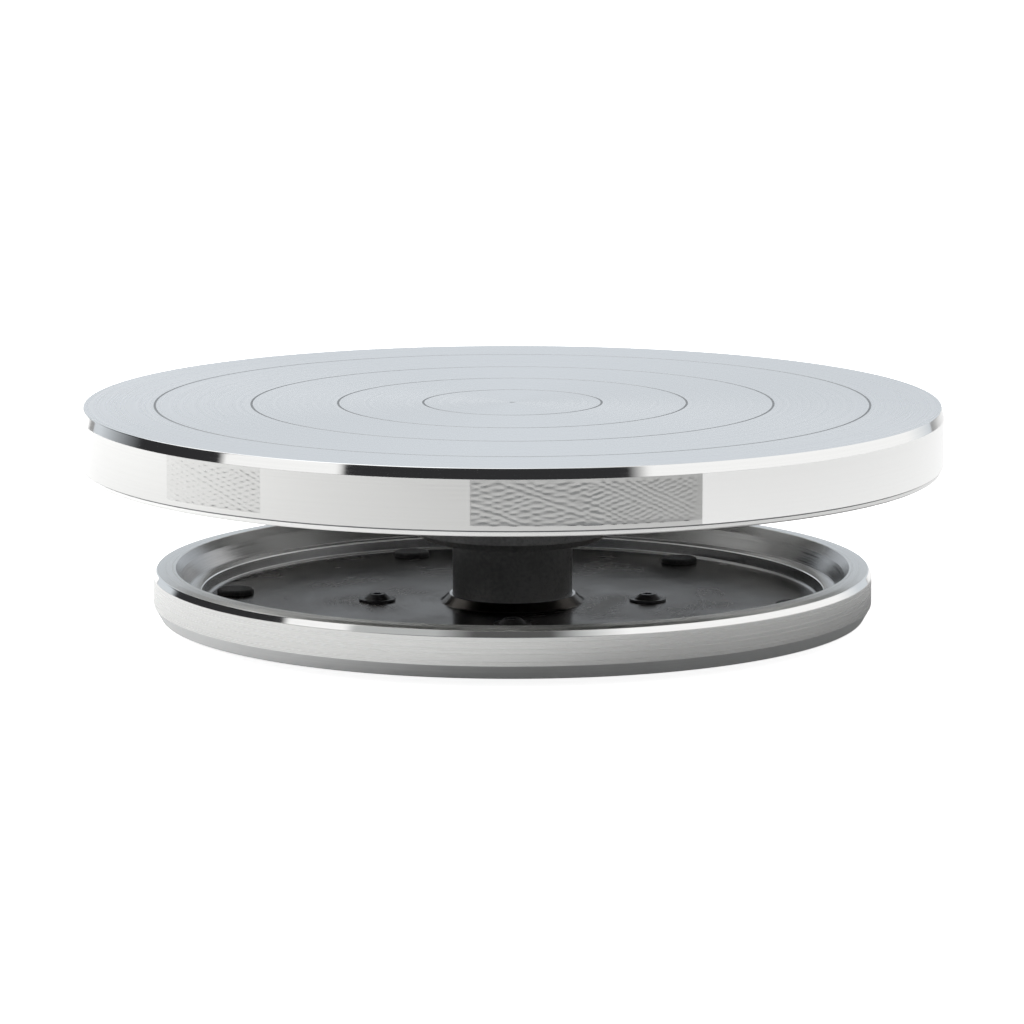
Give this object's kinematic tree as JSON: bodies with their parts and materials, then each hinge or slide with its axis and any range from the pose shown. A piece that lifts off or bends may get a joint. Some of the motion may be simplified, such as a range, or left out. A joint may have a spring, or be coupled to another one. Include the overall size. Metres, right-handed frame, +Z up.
{
  "type": "cake turntable",
  "caption": "Round aluminium turntable plate with engraved centring rings, spinning on a black post in a low dished base on rubber feet.",
  "frame": {"origin": "middle of the circle of rubber feet, on the surface that they stand on", "axes": "+Z up along the spin axis; +X and +Y across the base, with the screws in its floor on both axes"},
  "size_m": [0.304, 0.304, 0.078],
  "materials": {
    "plate_aluminium": "turned and polished",
    "base_aluminium": "turned, satin inside",
    "hub_black": "black, satin",
    "screw_black": "blackened steel",
    "ground_steel": "ground",
    "bearing_steel": "polished",
    "cage_steel": "pressed sheet",
    "spring_steel": "phosphated",
    "seal_rubber": "matt",
    "cap_steel": "zinc plated",
    "foot_rubber": "matt"
  },
  "bodies": {
    "base": {"base_casting": "base_aluminium", "hub_post": "hub_black", "post_screws": "screw_black", "rubber_foot_1": "foot_rubber", "rubber_foot_2": "foot_rubber", "rubber_foot_3": "foot_rubber", "rubber_foot_4": "foot_rubber", "rubber_foot_5": "foot_rubber", "rubber_foot_6": "foot_rubber", "lower_bearing_outer_ring": "bearing_steel", "lower_bearing_shields": "cage_steel", "upper_bearing_outer_ring": "bearing_steel", "upper_bearing_shields": "cage_steel", "outer_spacer": "ground_steel", "wave_washer": "spring_steel", "bore_clip": "spring_steel", "dust_seal": "seal_rubber", "bottom_cap": "cap_steel"},
    "turntable": {"turntable_plate": "plate_aluminium", "hub_flange": "hub_black", "flange_screws": "screw_black", "spindle": "ground_steel", "spindle_clip": "spring_steel", "inner_spacer": "ground_steel", "lower_bearing_inner_ring": "bearing_steel", "upper_bearing_inner_ring": "bearing_steel"},
    "lower_ball_set": {"lower_bearing_balls": "bearing_steel", "lower_bearing_cage": "cage_steel"},
    "upper_ball_set": {"upper_bearing_balls": "bearing_steel", "upper_bearing_cage": "cage_steel"}
  },
  "joints": [
    {"name": "plate_spin", "type": "hinge", "parent": "base", "child": "turntable", "pos_m": [0, 0, 0.078], "axis": [0, 0, 1], "continuous": true},
    {"name": "lower_balls_spin", "type": "hinge", "parent": "base", "child": "lower_ball_set", "pos_m": [0, 0, 0.012], "axis": [0, 0, 1], "continuous": true},
    {"name": "upper_balls_spin", "type": "hinge", "parent": "base", "child": "upper_ball_set", "pos_m": [0, 0, 0.0305], "axis": [0, 0, 1], "continuous": true}
  ],
  "couplings": [
    {"joint": "lower_balls_spin", "follows": "plate_spin", "ratio": 0.38096},
    {"joint": "upper_balls_spin", "follows": "plate_spin", "ratio": 0.38096}
  ]
}
